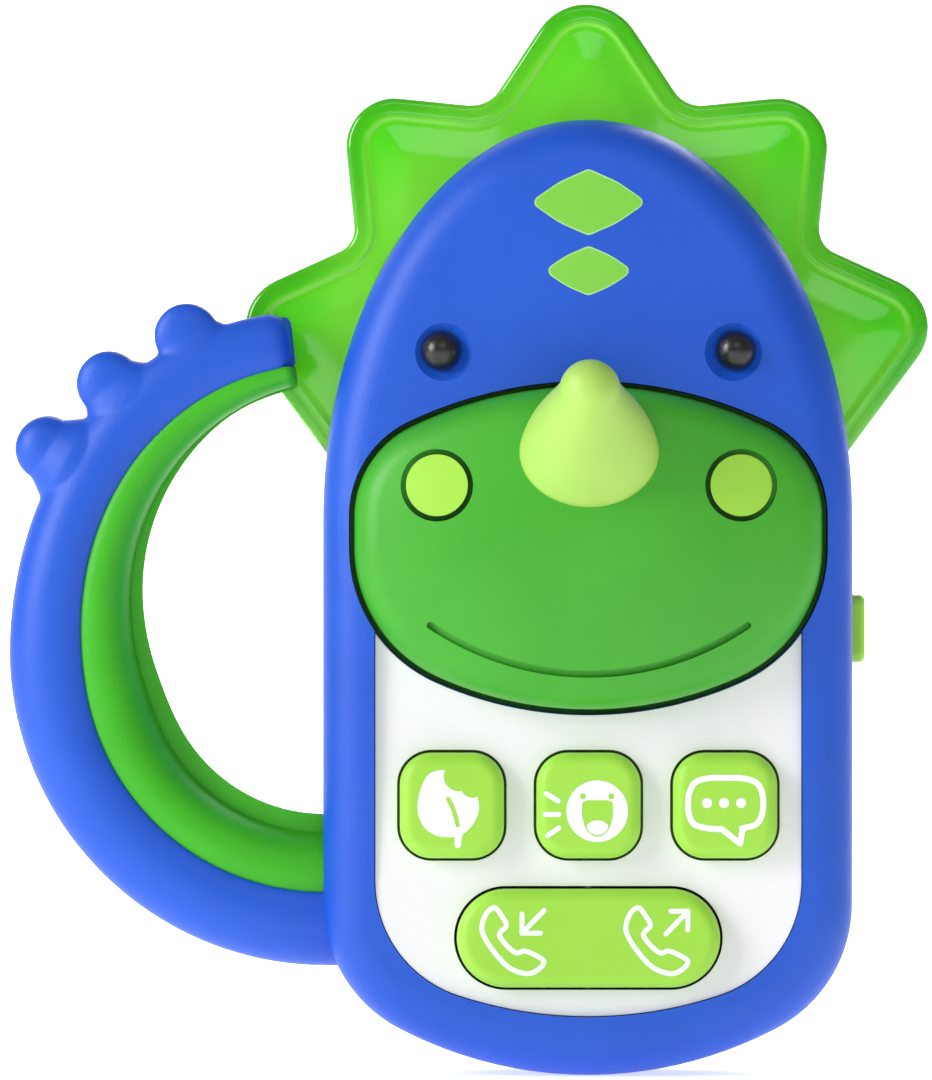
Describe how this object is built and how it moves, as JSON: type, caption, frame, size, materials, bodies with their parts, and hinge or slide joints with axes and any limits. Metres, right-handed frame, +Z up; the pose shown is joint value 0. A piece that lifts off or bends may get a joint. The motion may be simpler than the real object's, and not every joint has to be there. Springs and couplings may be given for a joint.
{
  "type": "toy cell phone",
  "caption": "Dinosaur toy phone: two-shell body, push-button muzzle with horn, keypad with keys and rocker, clear crest and a curled tail handle.",
  "frame": {"origin": "on the flat back face, midway across the body and midway up its shells, so the phone stands upright with its back on the plane y = 0", "axes": "+Z up the phone towards the crest's peak, +Y out of the flat back, +X to the right as the face is seen; the face looks along -Y"},
  "size_m": [0.1313, 0.0453, 0.1528],
  "materials": {
    "blue_shell": "moulded ABS, fine satin texture",
    "green_muzzle": "moulded ABS, fine satin texture",
    "lime_key": "moulded ABS, satin",
    "lime_horn": "moulded ABS, satin",
    "clear_crest": "clear tinted, polished",
    "green_grip": "soft moulded elastomer, fine texture",
    "white_panel": "moulded ABS, satin",
    "eye_black": "moulded ABS, fine texture",
    "inner_white": "moulded ABS, plain",
    "circuit_board": "paper-phenolic laminate",
    "silicone": "translucent silicone",
    "black_part": "moulded",
    "steel": "zinc plated",
    "spring_steel": "nickel plated",
    "paper_cone": "coated paper",
    "cell": "shrink sleeve over steel",
    "lamp": "clear epoxy"
  },
  "bodies": {
    "phone": {"front_shell": "blue_shell", "rear_shell": "blue_shell", "crest": "clear_crest", "keypad_plate": "white_panel", "eye_left": "eye_black", "eye_right": "eye_black", "tail_front": "blue_shell", "tail_rear": "blue_shell", "grip_front": "green_grip", "grip_rear": "green_grip", "tail_screws": "steel", "tail_peg": "clear_crest", "housing_screws": "steel", "main_board": "circuit_board", "board_screws": "steel", "sound_chip": "black_part", "key_membrane": "silicone", "muzzle_frame": "inner_white", "frame_screws": "steel", "muzzle_switch": "black_part", "slide_switch": "steel", "speaker": "steel", "speaker_cone": "paper_cone", "speaker_ring": "inner_white", "speaker_screws": "steel", "crest_lamps": "lamp", "batteries": "cell", "contact_springs": "spring_steel", "contact_plates": "spring_steel", "rocker_pin": "steel", "muzzle_springs": "spring_steel"},
    "muzzle_body": {"muzzle": "green_muzzle", "horn": "lime_horn", "nostril_left": "lime_key", "nostril_right": "lime_key"},
    "leaf_key": {"leaf_button": "lime_key"},
    "roar_key": {"roar_button": "lime_key"},
    "chat_key": {"chat_button": "lime_key"},
    "rocker": {"call_rocker": "lime_key"},
    "slider": {"power_slider": "lime_key", "switch_lever": "black_part"},
    "door": {"battery_door": "blue_shell"},
    "upper_screw": {"door_screw_upper": "steel"},
    "lower_screw": {"door_screw_lower": "steel"}
  },
  "joints": [
    {"name": "muzzle_press", "type": "slide", "parent": "phone", "child": "muzzle_body", "axis": [0, 1, 0], "range_m": [0, 0.002], "stiffness_N_per_m": 700, "springref_m": -0.0015, "deforming": ["muzzle_springs"]},
    {"name": "leaf_press", "type": "slide", "parent": "phone", "child": "leaf_key", "axis": [0, 1, 0], "range_m": [0, 0.0012], "stiffness_N_per_m": 500, "springref_m": -0.001, "deforming": ["key_membrane"]},
    {"name": "roar_press", "type": "slide", "parent": "phone", "child": "roar_key", "axis": [0, 1, 0], "range_m": [0, 0.0012], "stiffness_N_per_m": 500, "springref_m": -0.001, "deforming": ["key_membrane"]},
    {"name": "chat_press", "type": "slide", "parent": "phone", "child": "chat_key", "axis": [0, 1, 0], "range_m": [0, 0.0012], "stiffness_N_per_m": 500, "springref_m": -0.001, "deforming": ["key_membrane"]},
    {"name": "call_rock", "type": "hinge", "parent": "phone", "child": "rocker", "pos_m": [0, -0.0206, -0.04805], "axis": [0, 0, 1], "range_deg": [-2.5, 2.5], "stiffness_Nm_per_rad": 0.12, "deforming": ["key_membrane"]},
    {"name": "power_slide", "type": "slide", "parent": "phone", "child": "slider", "axis": [0, 0, 1], "range_m": [-0.003, 0.003]},
    {"name": "door_lift", "type": "slide", "parent": "phone", "child": "door", "axis": [0, 1, 0], "range_m": [0, 0.02]},
    {"name": "upper_screw_turn", "type": "hinge", "parent": "door", "child": "upper_screw", "pos_m": [0, 0, -0.0184], "axis": [0, 1, 0], "continuous": true},
    {"name": "lower_screw_turn", "type": "hinge", "parent": "door", "child": "lower_screw", "pos_m": [0, 0, -0.0496], "axis": [0, 1, 0], "continuous": true}
  ]
}
